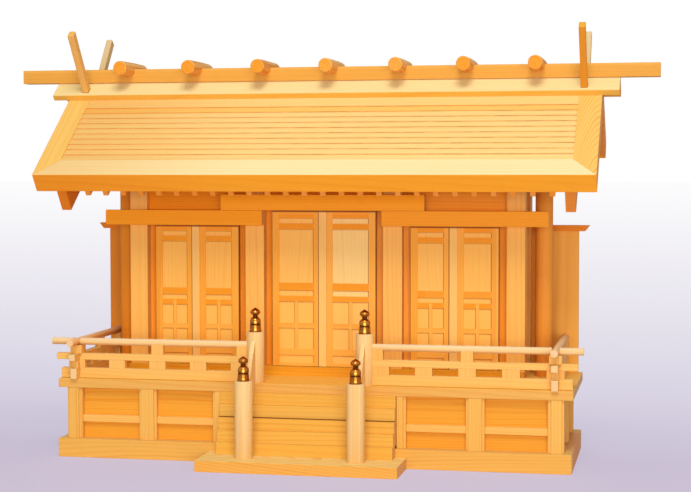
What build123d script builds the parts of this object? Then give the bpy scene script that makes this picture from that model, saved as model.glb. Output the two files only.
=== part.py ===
from build123d import *
import os

os.makedirs("parts", exist_ok=True)

# Household shrine model with one continuous roof over three door bays, in millimetres.
# The floor it stands on is Z = 0, the front faces -Y, and X runs along the ridge.
# Y = 0 is the vertical plane of the ridge; save() moves the origin to the middle of the depth.

# Base frame and the separate board under the stairs
base_half_w = 245.0
base_front_y = -110.0
base_back_y = 38.0
base_top = 17.9
base_board_w = 22.0
step_base_half_w = 94.0
step_base_front_y = -161.0
step_base_top = 10.4

# Podium between base and veranda floor
floor_bottom = 66.7
floor_top = 75.2
floor_past = 1.0
floor_half_w = base_half_w + floor_past
floor_front_y = -106.0
floor_back_y = 38.0
podium_inset, podium_inset_front, podium_inset_back = 7.4, 0.5, 2.5
podium_half_w = base_half_w - podium_inset
podium_front_y = floor_front_y + podium_inset_front
podium_back_y = floor_back_y - podium_inset_back
corner_core_w = 14.8
corner_face_w, corner_rebate_w = 9.6, 2.0
corner_face_x = (podium_half_w - corner_rebate_w - corner_face_w, podium_half_w - corner_rebate_w)
podium_mid_x = 156.8
podium_mid_w = 12.2
podium_post_deep = 7.5
rebate_w = 2.5
rebate_deep = 1.8
podium_panel_t = 3.0
podium_rail_z = (33.6, 40.2)
podium_rail_deep = 4.0

# Stairs
step_count = 5
step_half_w = 83.5
step_first_y = -108.2
step_going = 4.3
step_back_y = -98.5
step_side_gap = 0.5
podium_inner_x = step_half_w + step_side_gap
podium_inner_w = 6.0

# Newel posts with metal caps
newel_x = 52.5
newel_r = 8.3
newel_upper_y = -97.0
newel_lower_y = -141.0
newel_upper_top = 123.0
newel_lower_top = 82.0
cap_r = 6.0
sleeve_h = 9.4
shoulder_z = 10.9
neck_z = 15.2
neck_r = 2.5
ball_z = 18.7
ball_r = 4.7
cap_h = 22.7

# Stair handrails, broad boards between the newels
hand_w = 4.0
hand_upper_down, hand_lower_down, hand_lower_up = 8.2, 16.5, 16.6
hand_upper_z = (floor_top, newel_upper_top - hand_upper_down)
hand_lower_z = (step_base_top + hand_lower_up, newel_lower_top - hand_lower_down)

# Veranda railing
rail_y = -97.0
rail_inset = 8.2
rail_side_x = podium_half_w - rail_inset
rail_t = 6.2
bottom_rail_h = 10.0
middle_rail_z = (93.0, 99.2)
top_rail_r = 3.4
top_rail_z = 110.5
bottom_past, middle_past, top_past = (15.6, 12.8), (20.6, 17.4), (25.2, 22.0)
block_w = 16.2
block_pitch = 40.4
block_count = 4
strut_w = 11.5
strut_first_x = 64.4
strut_first_y = -36.0
lap_gap = 0.1

# Body: posts, sill, heads and lintels
post_front_y = -38.5
post_size = 17.6
body_inset = 66.8
corner_in_x = base_half_w - body_inset
inner_in_x, inner_out_x = 59.1, 77.7
sill_top = 83.4
sill_front_y = -45.5
sill_back_y = -24.0
lintel_front_y = -46.5
side_lintel_z = (221.4, 236.0)
side_lintel_past = 22.7
center_lintel_z = (236.1, 251.5)
center_lintel_half = 100.6
frieze_y = (-31.5, -27.5)
wall_t = 4.0
wall_set_back = 5.4
wall_x = corner_in_x + wall_set_back
back_wall_y = 31.0

# Doors: panel heights from the bottom up, the second and third rows split by a muntin
door_front_y = -35.5
door_t = 5.0
door_gap = 0.4
jamb_show = 7.5
jamb_w = 9.0
jamb_front_y = -28.2
pivot_in = 2.5
pin_r = 1.2
pin_len = 3.0
pin_clear = 0.07
pin_room = 0.5
meeting_off = 4.7
batten_w = 7.6
batten_proud = 1.6
hinge_stile_w = 7.0
meeting_stile_w = 5.1
batten_stile_w = 13.3
muntin_w = 3.0
panel_sunk = 1.2
center_panels_z = ((86.6, 94.5), (100.3, 121.0), (125.6, 147.0), (152.4, 158.0), (165.0, 217.4),
                   (222.9, 228.4))
side_panels_z = ((86.6, 94.5), (100.3, 118.8), (123.3, 142.6), (147.5, 152.6), (158.9, 205.0), (210.2, 215.3))
split_rows = (1, 2)

# Ridge pillars and side screens
pillar_inset = 34.4
pillar_x = base_half_w - pillar_inset
pillar_r = 8.5
screen_y = (31.0, 38.0)
screen_inset = 3.0
screen_end_x = base_half_w - screen_inset
screen_top = 214.9
screen_cap_h = 5.7
screen_cap_z = screen_top + screen_cap_h
screen_cap_past, screen_cap_undercut = 10.6, 4.6
screen_cap_tip_x = screen_end_x + screen_cap_past
screen_cap_low_x = screen_cap_tip_x - screen_cap_undercut
screen_cap_y = (28.6, 40.4)

# Roof: 3 to 4 slope, top surfaces meeting at the apex, the rear slope shorter than the front.
# The seven logs on the ridge are set by eye, each a little off an even pitch.
apex_z = 359.8
roof_past = 21.0
roof_half_w = base_half_w + roof_past
front_run = 148.4
back_run = 96.0
roof_t = 19.7
eave_board_w = 23.9
verge_board_w = 21.8
verge_in_x = roof_half_w - verge_board_w
field_start = 38.1
course_pitch = 8.64
course_sunk = 0.2
course_step = 0.7
rafter_w = 5.0
rafter_deep = 6.8
rafter_back_off = 2.4
rafter_count = 26
rafter_inset_left, rafter_inset_right = 29.1, 19.1
rafter_x = (rafter_inset_left - base_half_w, base_half_w - rafter_inset_right)
barge_inset = 19.5
barge_w = 9.3
barge_x = (roof_half_w - barge_inset - barge_w, roof_half_w - barge_inset)
barge_deep = 24.3
barge_back_off = 1.8
plate_w = 12.0
plate_h = 8.3
purlin_w = 14.0
purlin_h = 14.0
cover_past = 16.3
cover_half_w = roof_half_w + cover_past
cover_t = 6.0
cover_run = 24.1
ridge_beam_half = 320.0
ridge_beam_y = 7.5
ridge_beam_above = 3.4
ridge_beam_h = 13.4
ridge_beam_z = (apex_z + ridge_beam_above, apex_z + ridge_beam_above + ridge_beam_h)
log_pitch = 67.8
log_set_off = (-4.0, -1.5, 1.2, 1.4, 2.2, 0.0, 0.5)
log_half = 34.0
log_r_mid, log_r_end = 7.2, 6.9
log_round = 1.2
chigi_inset = 17.0
chigi_x = roof_half_w - chigi_inset
chigi_w = 6.3
chigi_t = 8.6
chigi_len = 67.6
chigi_run = 15.4
chigi_round = 1.0
mortise_deep = 3.0
mortise_gap = 0.15

# The part's own origin: on the floor, at the middle of its depth from stair board to rear eave
origin_y = (step_base_front_y + 0.8 * back_run) / 2


def block(x0, x1, y0, y1, z0, z1):
    """A box between two corners."""
    return Pos((x0 + x1) / 2, (y0 + y1) / 2, (z0 + z1) / 2) * Box(abs(x1 - x0), abs(y1 - y0), abs(z1 - z0))


def yz_prism(points, x0, x1):
    """A profile in the Y-Z plane carried along X."""
    face = Plane.YZ * make_face(Polyline([*points, points[0]]))
    return Pos(x0, 0, 0) * extrude(face, amount=x1 - x0)


def xz_prism(points, y0, y1):
    """A profile in the X-Z plane carried along Y."""
    wire = Polyline([*[(x, 0, z) for x, z in points], (points[0][0], 0, points[0][1])])
    solid = extrude(make_face(wire), amount=y1 - y0, dir=(0, 1, 0))
    return Pos(0, y0, 0) * solid


def rod_z(x, y, z0, z1, r):
    return Pos(x, y, (z0 + z1) / 2) * Cylinder(r, z1 - z0)


def rod_x(x0, x1, y, z, r):
    return Pos((x0 + x1) / 2, y, z) * Rot(0, 90, 0) * Cylinder(r, x1 - x0)


def rod_y(x, y0, y1, z, r):
    return Pos(x, (y0 + y1) / 2, z) * Rot(90, 0, 0) * Cylinder(r, y1 - y0)


def slope(run, out):
    """Point of the front roof slope: run down from the apex, out along its upward normal."""
    return (-0.8 * run - 0.6 * out, apex_z - 0.6 * run + 0.8 * out)


def under(y, out):
    """Height of a line lying 'out' from the roof's top surface, at a given depth."""
    return apex_z - 0.75 * abs(y) + out / 0.8


raft_out = -(roof_t + rafter_deep)
post_top = under(post_front_y, raft_out) - plate_h
corner_out_x = corner_in_x + post_size


def both_sides(shape):
    return [shape, mirror(shape, Plane.YZ)]


def front_back(shape):
    return [shape, mirror(shape, Plane.XZ)]


def save(name, shapes):
    """Write one node as the solids it holds."""
    if not isinstance(shapes, (list, tuple)):
        shapes = [shapes]
    solids = []
    for shape in shapes:
        solids += [Pos(0, -origin_y, 0) * solid for solid in shape.solids()]
    node = solids[0] if len(solids) == 1 else Compound(children=solids)
    node.label = name
    export_step(node, f"parts/{name}.step")


# Base frame: long boards front and back, end boards between them, stair board in front
base_front = block(-base_half_w, base_half_w, base_front_y, base_front_y + base_board_w, 0, base_top)
base_back = block(-base_half_w, base_half_w, base_back_y - base_board_w, base_back_y, 0, base_top)
save("base_long_boards", [base_front, base_back])
base_end = block(base_half_w - base_board_w, base_half_w, base_front_y + base_board_w,
                 base_back_y - base_board_w, 0, base_top)
save("base_end_boards", both_sides(base_end))
save("step_base", block(-step_base_half_w, step_base_half_w, step_base_front_y, base_front_y,
                        0, step_base_top))


# Podium: rebated posts, boards behind them and one rail across each bay
def rebated_post(x0, x1, y0, y1, left=True, right=True):
    """A post whose sides step back from its front face."""
    post = block(x0, x1, y0, y1, base_top, floor_bottom)
    if left:
        post += block(x0 - rebate_w, x0, y0 + rebate_deep, y1, base_top, floor_bottom)
    if right:
        post += block(x1, x1 + rebate_w, y0 + rebate_deep, y1, base_top, floor_bottom)
    return post


post_back = podium_front_y + podium_post_deep
core_y0 = podium_front_y + rebate_deep
core_y1 = core_y0 + corner_core_w
core_in = podium_half_w - corner_core_w
corner = block(core_in, podium_half_w, core_y0, core_y1, base_top, floor_bottom)
corner += block(*corner_face_x, podium_front_y, core_y0, base_top, floor_bottom)
mid_y = (podium_front_y + podium_back_y) / 2
to_back = Pos(0, 2 * mid_y, 0)
back_corner = to_back * mirror(corner, Plane.XZ)
mid_x0, mid_x1 = podium_mid_x - podium_mid_w / 2, podium_mid_x + podium_mid_w / 2
mid = rebated_post(mid_x0, mid_x1, podium_front_y, post_back)
back_mid = to_back * mirror(mid, Plane.XZ)
inner_x1 = podium_inner_x + podium_inner_w
inner = rebated_post(podium_inner_x, inner_x1, podium_front_y, post_back, left=False)
side_x0 = podium_half_w - podium_post_deep
side_y0, side_y1 = mid_y - podium_mid_w / 2, mid_y + podium_mid_w / 2
side_mid = block(side_x0, podium_half_w, side_y0, side_y1, base_top, floor_bottom)
posts = []
for shape in (corner, back_corner, mid, back_mid, inner, side_mid):
    posts += both_sides(shape)
save("podium_posts", posts)

front_rail = (post_back - podium_rail_deep, post_back, *podium_rail_z)
bays = [(inner_x1 + rebate_w, mid_x0 - rebate_w), (mid_x1 + rebate_w, core_in)]
rails = []
for x0, x1 in bays:
    rails += both_sides(block(x0, x1, *front_rail))
long_rail = block(rebate_w - mid_x0, mid_x0 - rebate_w, *front_rail)
back_rails = [long_rail, *both_sides(block(*bays[1], *front_rail))]
rails += [to_back * mirror(rail, Plane.XZ) for rail in back_rails]
for y0, y1 in ((core_y1, side_y0), (side_y1, 2 * mid_y - core_y1)):
    rails += both_sides(block(side_x0, side_x0 + podium_rail_deep, y0, y1, *podium_rail_z))
save("podium_mid_rails", rails)

panel_y = (post_back, post_back + podium_panel_t)
front_panel = block(podium_inner_x, core_in, *panel_y, base_top, floor_bottom)
back_panel = to_back * mirror(block(-core_in, core_in, *panel_y, base_top, floor_bottom), Plane.XZ)
side_panel = block(side_x0 - podium_panel_t, side_x0, core_y1, 2 * mid_y - core_y1, base_top, floor_bottom)
save("podium_panels", both_sides(front_panel) + both_sides(side_panel) + [back_panel])

# Veranda floor, one slab that is also the floor inside the doors
save("veranda_floor", block(-floor_half_w, floor_half_w, floor_front_y, floor_back_y,
                            floor_bottom, floor_top))

# Stairs: full-width treads, each a thick plank a little further forward than the one above
rise = (floor_bottom - step_base_top) / step_count
for i in range(step_count):
    z1 = floor_bottom - i * rise
    back = step_back_y if z1 - rise > base_top else base_front_y
    front = step_first_y - i * step_going
    save(f"stair_step_{i + 1}", block(-step_half_w, step_half_w, front, back, z1 - rise, z1))

# Newel posts: two on the veranda edge and two on the stair board
newels = [rod_z(newel_x, newel_upper_y, floor_top, newel_upper_top, newel_r),
          rod_z(newel_x, newel_lower_y, step_base_top, newel_lower_top, newel_r)]
save("newel_posts", both_sides(newels[0]) + both_sides(newels[1]))


def newel_cap():
    """Onion-shaped metal cap on a banded sleeve, turned about its axis."""
    inner_r, band_r = cap_r - 0.5, cap_r - 0.1
    sleeve = [(0, 0), (cap_r, 0), (cap_r, 2.0), (inner_r, 2.3), (inner_r, sleeve_h), (band_r, sleeve_h + 0.3),
              (band_r, shoulder_z), (inner_r, shoulder_z + 0.3)]
    shoulder = Spline((inner_r, shoulder_z + 0.3), (cap_r - 1.3, shoulder_z + 2.5), (neck_r + 0.4, neck_z),
                      tangents=((0, 1), (-0.7, 0.5)))
    neck = Polyline((neck_r + 0.4, neck_z), (neck_r, neck_z + 0.2), (neck_r, neck_z + 0.9),
                    (neck_r + 0.4, neck_z + 1.1))
    ball = Spline((neck_r + 0.4, neck_z + 1.1), (ball_r, ball_z), (ball_r - 1.6, ball_z + 2.3), (0.5, cap_h),
                  tangents=((1, 0.4), (-0.5, 1)))
    close = Polyline((0.5, cap_h), (0, cap_h), (0, 0))
    wire = Wire(Curve() + [Polyline(sleeve), shoulder, neck, ball, close])
    face = Plane.XZ * make_face(wire.edges())
    return revolve(face, Axis.Z)


cap = newel_cap()
caps = []
for y, z in ((newel_upper_y, newel_upper_top), (newel_lower_y, newel_lower_top)):
    caps += both_sides(Pos(newel_x, y, z) * cap)
save("newel_caps", caps)

# Stair handrails: broad boards with a curved top edge, let in between upper and lower newel
upper_face = newel_upper_y - newel_r
lower_face = newel_lower_y + newel_r
low, high = hand_lower_z
floor_z, top = hand_upper_z
hand_top = Spline((upper_face, top), (lower_face, high), tangents=((-0.62, -0.78), (-0.45, -0.89)))
hand_rest = Polyline((lower_face, high), (newel_lower_y, high), (newel_lower_y, low), (lower_face, low),
                     (floor_front_y, floor_z), (newel_upper_y, floor_z), (newel_upper_y, top),
                     (upper_face, top))
hand_face = Plane.YZ * make_face(Wire(Curve() + [hand_top, hand_rest]).edges())
hand = Pos(newel_x - hand_w / 2, 0, 0) * extrude(hand_face, amount=hand_w)
for shape in newels:
    hand -= shape
save("stair_handrails", both_sides(hand))

# Railing: front rails end on the upper newels, side rails on the screens, half-lapped at the corners
newel_cut = newels[0]


def lap(shape, z0, z1, keep_low, half_t=rail_t / 2):
    """Take the upper or lower half away where front and side rails cross."""
    zm = (z0 + z1) / 2
    w = half_t + lap_gap
    if keep_low:
        return shape - block(rail_side_x - w, rail_side_x + w, rail_y - w, rail_y + w, zm, z1 + 1)
    return shape - block(rail_side_x - w, rail_side_x + w, rail_y - w, rail_y + w, z0 - 1, zm)


half = rail_t / 2
bottom_z = (floor_top, floor_top + bottom_rail_h)
side_end_y = screen_y[0]
front = block(newel_x, rail_side_x + bottom_past[0], rail_y - half, rail_y + half, *bottom_z) - newel_cut
side = block(rail_side_x - half, rail_side_x + half, rail_y - bottom_past[1], side_end_y, *bottom_z)
save("bottom_rails_front", both_sides(lap(front, *bottom_z, True)))
save("bottom_rails_side", both_sides(lap(side, *bottom_z, False)))
front = block(newel_x, rail_side_x + middle_past[0], rail_y - half, rail_y + half, *middle_rail_z) - newel_cut
side = block(rail_side_x - half, rail_side_x + half, rail_y - middle_past[1], side_end_y, *middle_rail_z)
save("middle_rails_front", both_sides(lap(front, *middle_rail_z, True)))
save("middle_rails_side", both_sides(lap(side, *middle_rail_z, False)))
top_z = (top_rail_z - top_rail_r, top_rail_z + top_rail_r)
front_rod = rod_x(newel_x, rail_side_x + top_past[0], rail_y, top_rail_z, top_rail_r)
side_rod = rod_y(rail_side_x, rail_y - top_past[1], side_end_y, top_rail_z, top_rail_r)
save("top_rails_front", both_sides(lap(front_rod - newel_cut, *top_z, True, top_rail_r)))
save("top_rails_side", both_sides(lap(side_rod, *top_z, False, top_rail_r)))

# Wide blocks between bottom and middle rails, narrow struts between middle and top rails
block_z = (bottom_z[1], middle_rail_z[0])
bw = block_w / 2
block_xs = [rail_side_x - i * block_pitch for i in range(1, block_count + 1)]
block_ys = [rail_y + block_pitch, rail_y + 2 * block_pitch, side_end_y - bw]
blocks = [block(x - bw, x + bw, rail_y - half, rail_y + half, *block_z) - newel_cut for x in block_xs]
blocks += [block(rail_side_x - half, rail_side_x + half, y - bw, y + bw, *block_z) for y in block_ys]
blocks.append(block(rail_side_x - bw, rail_side_x + bw, rail_y - half, rail_y + half, *block_z)
              + block(rail_side_x - half, rail_side_x + half, rail_y - bw, rail_y + bw, *block_z))
rail_blocks = []
for shape in blocks:
    rail_blocks += both_sides(shape)
save("railing_blocks", rail_blocks)

sw = strut_w / 2
strut_z = (middle_rail_z[1], top_rail_z)
struts = [block(x - sw, x + sw, rail_y - half, rail_y + half, *strut_z) - front_rod - newel_cut
          for x in (strut_first_x, block_xs[1])]
struts += [block(rail_side_x - half, rail_side_x + half, y - sw, y + sw, *strut_z) - side_rod
           for y in (strut_first_y, block_ys[2])]
struts.append(block(rail_side_x - sw, rail_side_x + sw, rail_y - sw, rail_y + sw, strut_z[0], top_z[0]))
rail_struts = []
for shape in struts:
    rail_struts += both_sides(shape)
save("railing_struts", rail_struts)

# Body posts on the floor: four at the corners, two beside the middle doors
corner_post = block(corner_in_x, corner_out_x, post_front_y, post_front_y + post_size, floor_top, post_top)
rear_post = mirror(corner_post, Plane.XZ)
save("corner_posts", both_sides(corner_post) + both_sides(rear_post))
inner_post = block(inner_in_x, inner_out_x, post_front_y, post_front_y + post_size, floor_top, post_top)
save("front_inner_posts", both_sides(inner_post))

# Door leaves: outer stile pivots, inner stiles meeting left of the middle of each bay
bays_x = {"left": (-corner_in_x, -inner_out_x, side_lintel_z[0]),
          "center": (-inner_in_x, inner_in_x, center_lintel_z[0]),
          "right": (inner_out_x, corner_in_x, side_lintel_z[0])}
leaves = {}
pivots = {}
for bay, (x0, x1, head) in bays_x.items():
    left_edge, right_edge = x0 + jamb_show, x1 - jamb_show
    meet = (x0 + x1) / 2 - meeting_off
    leaves[f"{bay}_door_left"] = (left_edge, meet - door_gap / 2, left_edge + pivot_in, head, False)
    leaves[f"{bay}_door_right"] = (meet + door_gap / 2, right_edge, right_edge - pivot_in, head, True)


def door_leaf(x0, x1, pivot, head, right_hand):
    """Framed leaf with sunk panels on both faces, and round pivot pins at top and bottom."""
    z0, z1 = sill_top + door_gap, head - door_gap
    y0, y1 = door_front_y, door_front_y + door_t
    leaf = block(x0, x1, y0, y1, z0, z1)
    if right_hand:
        leaf += block(x0, x0 + batten_w, y0 - batten_proud, y0, z0, z1)
    left = x0 + (batten_stile_w if right_hand else hinge_stile_w)
    right = x1 - (hinge_stile_w if right_hand else meeting_stile_w)
    middle = (left + right) / 2
    split = [(left, middle - muntin_w / 2), (middle + muntin_w / 2, right)]
    panels_z = center_panels_z if head == center_lintel_z[0] else side_panels_z
    for row, (low, high) in enumerate(panels_z):
        for xa, xb in split if row in split_rows else [(left, right)]:
            leaf -= block(xa, xb, y0, y0 + panel_sunk, low, high)
            leaf -= block(xa, xb, y1 - panel_sunk, y1, low, high)
    py = (y0 + y1) / 2
    leaf += rod_z(pivot, py, z0 - door_gap - pin_len, z0 + 1, pin_r)
    leaf += rod_z(pivot, py, z1 - 1, z1 + door_gap + pin_len, pin_r)
    return leaf


for name, args in leaves.items():
    save(name, door_leaf(*args))
    pivots[name] = args[2]


def pin_holes(shape, zs):
    """Drill the pivot holes that lie in this piece."""
    py = door_front_y + door_t / 2
    for x in pivots.values():
        for z in zs:
            shape -= rod_z(x, py, z - pin_len - pin_room, z + pin_len + pin_room, pin_r + pin_clear)
    return shape


# Sill: one board across the front, notched round the posts
sill = block(-corner_out_x, corner_out_x, sill_front_y, sill_back_y, floor_top, sill_top)
for shape in both_sides(corner_post) + both_sides(inner_post):
    sill -= shape
sill = pin_holes(sill, [sill_top])
save("door_sill", sill)

# Heads above the doors, between the posts
heads = []
side_head = block(inner_out_x, corner_in_x, post_front_y, sill_back_y, *side_lintel_z)
for shape in both_sides(side_head):
    heads.append(pin_holes(shape, [side_lintel_z[0]]))
center_head = block(-inner_in_x, inner_in_x, post_front_y, sill_back_y, *center_lintel_z)
heads.append(pin_holes(center_head, [center_lintel_z[0]]))
save("door_heads", heads)

# Jambs: strips beside the posts, behind the leaves
jambs = []
for x0, x1, head in bays_x.values():
    for xa, xb in ((x0, x0 + jamb_w), (x1 - jamb_w, x1)):
        jambs.append(block(xa, xb, jamb_front_y, sill_back_y, sill_top, head))
save("door_jambs", jambs)

# Lintels in front of the posts: two over the side bays, one lying on both over the middle doors
side_lintel = block(inner_in_x, corner_out_x + side_lintel_past, lintel_front_y, post_front_y, *side_lintel_z)
save("side_lintels", both_sides(side_lintel))
save("center_lintel", block(-center_lintel_half, center_lintel_half, lintel_front_y, post_front_y,
                            *center_lintel_z))

# Frieze boards above the side heads and the middle head
frieze = both_sides(block(inner_out_x, corner_in_x, *frieze_y, side_lintel_z[1], post_top))
frieze.append(block(-inner_in_x, inner_in_x, *frieze_y, center_lintel_z[1], post_top))
save("frieze_panels", frieze)

# Walls: sides between the corner posts, back between the rear posts, gables up to the roof
post_back_y = post_front_y + post_size
side_wall = block(wall_x, wall_x + wall_t, post_back_y, -post_back_y, floor_top, post_top)
save("side_walls", both_sides(side_wall))
save("back_wall", block(-corner_in_x, corner_in_x, back_wall_y, back_wall_y + wall_t, floor_top, post_top))

# Wall plates along front and back, ridge purlin on the pillars
plate_y0, plate_y1 = post_front_y, post_front_y + plate_w
plate = yz_prism([(plate_y0, post_top), (plate_y1, post_top), (plate_y1, under(plate_y1, raft_out)),
                  (plate_y0, under(plate_y0, raft_out))], -barge_x[0], barge_x[0])
save("wall_plates", front_back(plate))
pw = purlin_w / 2
purlin_bottom = under(pw, raft_out) - purlin_h
purlin = yz_prism([(-pw, purlin_bottom), (pw, purlin_bottom), (pw, under(pw, raft_out)),
                   (0, under(0, raft_out)), (-pw, under(pw, raft_out))], -barge_x[0], barge_x[0])
save("ridge_purlin", purlin)
pillar = rod_z(pillar_x, 0, floor_top, purlin_bottom, pillar_r)
save("ridge_pillars", both_sides(pillar))

# Rafters under the roof boards
def half_rafter(run):
    """One rafter of the front slope, up to the plane of the ridge."""
    outline = [(0, under(0, -roof_t)), slope(run, -roof_t), slope(run, raft_out), (0, under(0, raft_out))]
    return yz_prism(outline, -rafter_w / 2, rafter_w / 2)


raft = half_rafter(front_run - rafter_back_off) + mirror(half_rafter(back_run - rafter_back_off), Plane.XZ)
rafter_pitch = (rafter_x[1] - rafter_x[0]) / (rafter_count - 1)
rafters = [Pos(rafter_x[0] + i * rafter_pitch, 0, 0) * raft for i in range(rafter_count)]
save("rafters", rafters)

# Gable walls up to the roof boards, cut out for the purlin and the rafters
gable = yz_prism([(plate_y1, post_top), (-plate_y1, post_top), (-plate_y1, under(plate_y1, raft_out)),
                  (-plate_y1, under(plate_y1, -roof_t)), (0, under(0, -roof_t)),
                  (plate_y1, under(plate_y1, -roof_t))], wall_x, wall_x + wall_t)
gables = both_sides(gable)
for shape in [purlin, *rafters]:
    gables = [wall - shape for wall in gables]
save("gable_walls", gables)


# Bargeboards under the roof near its ends
def barge(run):
    """One bargeboard of the front slope."""
    return yz_prism([(0, under(0, -roof_t)), slope(run, -roof_t), slope(run, -roof_t - barge_deep),
                     (0, under(0, -roof_t - barge_deep))], *barge_x)


save("bargeboards_front", both_sides(barge(front_run - barge_back_off)))
save("bargeboards_back", both_sides(mirror(barge(back_run - barge_back_off), Plane.XZ)))


# Roof slopes: a field of lapped courses, framed by an eave board mitred with two verge boards
def roof_slope(run):
    """Field, eave board and right verge board of one slope, as if it were the front one."""
    eave_run = run - eave_board_w
    count = round((eave_run - field_start) / course_pitch)
    pitch = (eave_run - field_start) / count
    low = course_sunk + course_step
    outline = [(0, apex_z), slope(field_start, 0)]
    for i in range(count):
        outline += [slope(field_start + i * pitch, -low), slope(field_start + (i + 1) * pitch, -course_sunk)]
    outline += [slope(eave_run, -roof_t), (0, under(0, -roof_t))]
    field = yz_prism(outline, -verge_in_x, verge_in_x)
    along_slope = Plane(origin=(0, 0, apex_z), x_dir=(1, 0, 0), z_dir=(0, 0.6, -0.8))
    corners = [(-roof_half_w, run), (roof_half_w, run), (verge_in_x, eave_run), (-verge_in_x, eave_run)]
    eave = extrude(along_slope * make_face(Polyline([*corners, corners[0]])), amount=roof_t)
    verge = yz_prism([(0, apex_z), slope(run, 0), slope(run, -roof_t), (0, under(0, -roof_t))],
                     verge_in_x, roof_half_w) - eave
    return field, eave, verge


field, eave, verge = roof_slope(front_run)
back_field, back_eave, back_verge = [mirror(shape, Plane.XZ) for shape in roof_slope(back_run)]
save("roof_front", field)
save("roof_back", back_field)
save("roof_eave_boards", [eave, back_eave])
save("roof_verge_boards", both_sides(verge) + both_sides(back_verge))

# Ridge cover boards, mortised for the crossed finials, and cut flat under the ridge beam
seat_y = (under(0, cover_t) - ridge_beam_z[0]) / 0.75
cover = yz_prism([(0, apex_z), slope(cover_run, 0), slope(cover_run, cover_t), (-seat_y, ridge_beam_z[0]),
                  (0, ridge_beam_z[0])], -cover_half_w, cover_half_w)


def chigi_at(run, extra):
    """Square finial standing square to the roof slope."""
    out0, out1 = cover_t - mortise_deep, cover_t + chigi_len
    t = chigi_t / 2 + extra
    return yz_prism([slope(run - t, out0), slope(run + t, out0), slope(run + t, out1), slope(run - t, out1)],
                    chigi_x - chigi_w / 2 - extra, chigi_x + chigi_w / 2 + extra)


chigi = chigi_at(chigi_run, 0)
chigi = fillet(chigi.edges(), chigi_round)
for shape in both_sides(chigi_at(chigi_run, mortise_gap)):
    cover -= shape
save("ridge_cover_front", cover)
save("ridge_cover_back", mirror(cover, Plane.XZ))
save("chigi", both_sides(chigi) + [mirror(s, Plane.XZ) for s in both_sides(chigi)])

# Ridge beam and the round logs notched over it
beam = block(-ridge_beam_half, ridge_beam_half, -ridge_beam_y, ridge_beam_y, *ridge_beam_z)
save("ridge_beam", beam)
flat_r, flat_y = log_r_end - log_round, log_half - log_round
lean = log_round * (1 - 0.5 ** 0.5)
near = (log_r_end - lean, lean - log_half)
far = (log_r_end - lean, log_half - lean)
log_face = make_face([Line((0, -log_half), (flat_r, -log_half)),
                      ThreePointArc((flat_r, -log_half), near, (log_r_end, -flat_y)),
                      Spline((log_r_end, -flat_y), (log_r_mid, 0), (log_r_end, flat_y)),
                      ThreePointArc((log_r_end, flat_y), far, (flat_r, log_half)),
                      Line((flat_r, log_half), (0, log_half)),
                      Line((0, log_half), (0, -log_half))])
log = Pos(0, 0, ridge_beam_z[1]) * revolve(log_face, Axis.Y)
log -= block(-2 * log_r_mid, 2 * log_r_mid, -ridge_beam_y, ridge_beam_y, *ridge_beam_z)
middle_log = (len(log_set_off) - 1) / 2
logs = [Pos((i - middle_log) * log_pitch + off, 0, 0) * log for i, off in enumerate(log_set_off)]
save("ridge_logs", logs)

# Side screens at the back of the side verandas, with caps cut back below
screen = block(corner_out_x, screen_end_x, *screen_y, floor_top, screen_top)
save("screen_panels", both_sides(screen))
screen_cap = xz_prism([(corner_out_x, screen_top), (screen_cap_low_x, screen_top),
                       (screen_cap_tip_x, screen_cap_z), (corner_out_x, screen_cap_z)], *screen_cap_y)
save("screen_caps", both_sides(screen_cap))
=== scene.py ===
import math

import bpy
from mathutils import Matrix, Vector


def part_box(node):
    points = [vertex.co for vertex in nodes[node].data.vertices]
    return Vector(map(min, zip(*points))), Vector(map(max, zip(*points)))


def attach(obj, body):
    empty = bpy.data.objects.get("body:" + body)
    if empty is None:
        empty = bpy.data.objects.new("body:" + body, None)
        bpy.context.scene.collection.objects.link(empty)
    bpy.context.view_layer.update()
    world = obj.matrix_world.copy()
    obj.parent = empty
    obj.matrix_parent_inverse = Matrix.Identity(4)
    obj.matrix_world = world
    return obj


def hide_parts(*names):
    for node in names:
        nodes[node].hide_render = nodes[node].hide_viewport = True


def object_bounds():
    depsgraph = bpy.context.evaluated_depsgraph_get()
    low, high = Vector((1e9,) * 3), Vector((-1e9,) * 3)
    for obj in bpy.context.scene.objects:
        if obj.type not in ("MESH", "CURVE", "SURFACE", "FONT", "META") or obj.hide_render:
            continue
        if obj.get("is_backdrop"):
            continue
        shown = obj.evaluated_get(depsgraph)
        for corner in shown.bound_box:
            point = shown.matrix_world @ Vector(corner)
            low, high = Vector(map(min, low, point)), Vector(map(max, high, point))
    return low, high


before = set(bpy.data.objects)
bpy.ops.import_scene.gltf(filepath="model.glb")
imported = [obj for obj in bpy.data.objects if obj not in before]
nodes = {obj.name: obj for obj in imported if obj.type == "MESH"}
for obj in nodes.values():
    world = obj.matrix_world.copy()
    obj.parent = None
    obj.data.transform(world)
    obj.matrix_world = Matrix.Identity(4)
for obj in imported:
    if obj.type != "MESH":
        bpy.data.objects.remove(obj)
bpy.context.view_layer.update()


# The base frame: long boards front and back with end boards between them, and a separate board
# under the stairs. All of it is planed cypress, left bare, with its edges just eased by hand.

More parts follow.
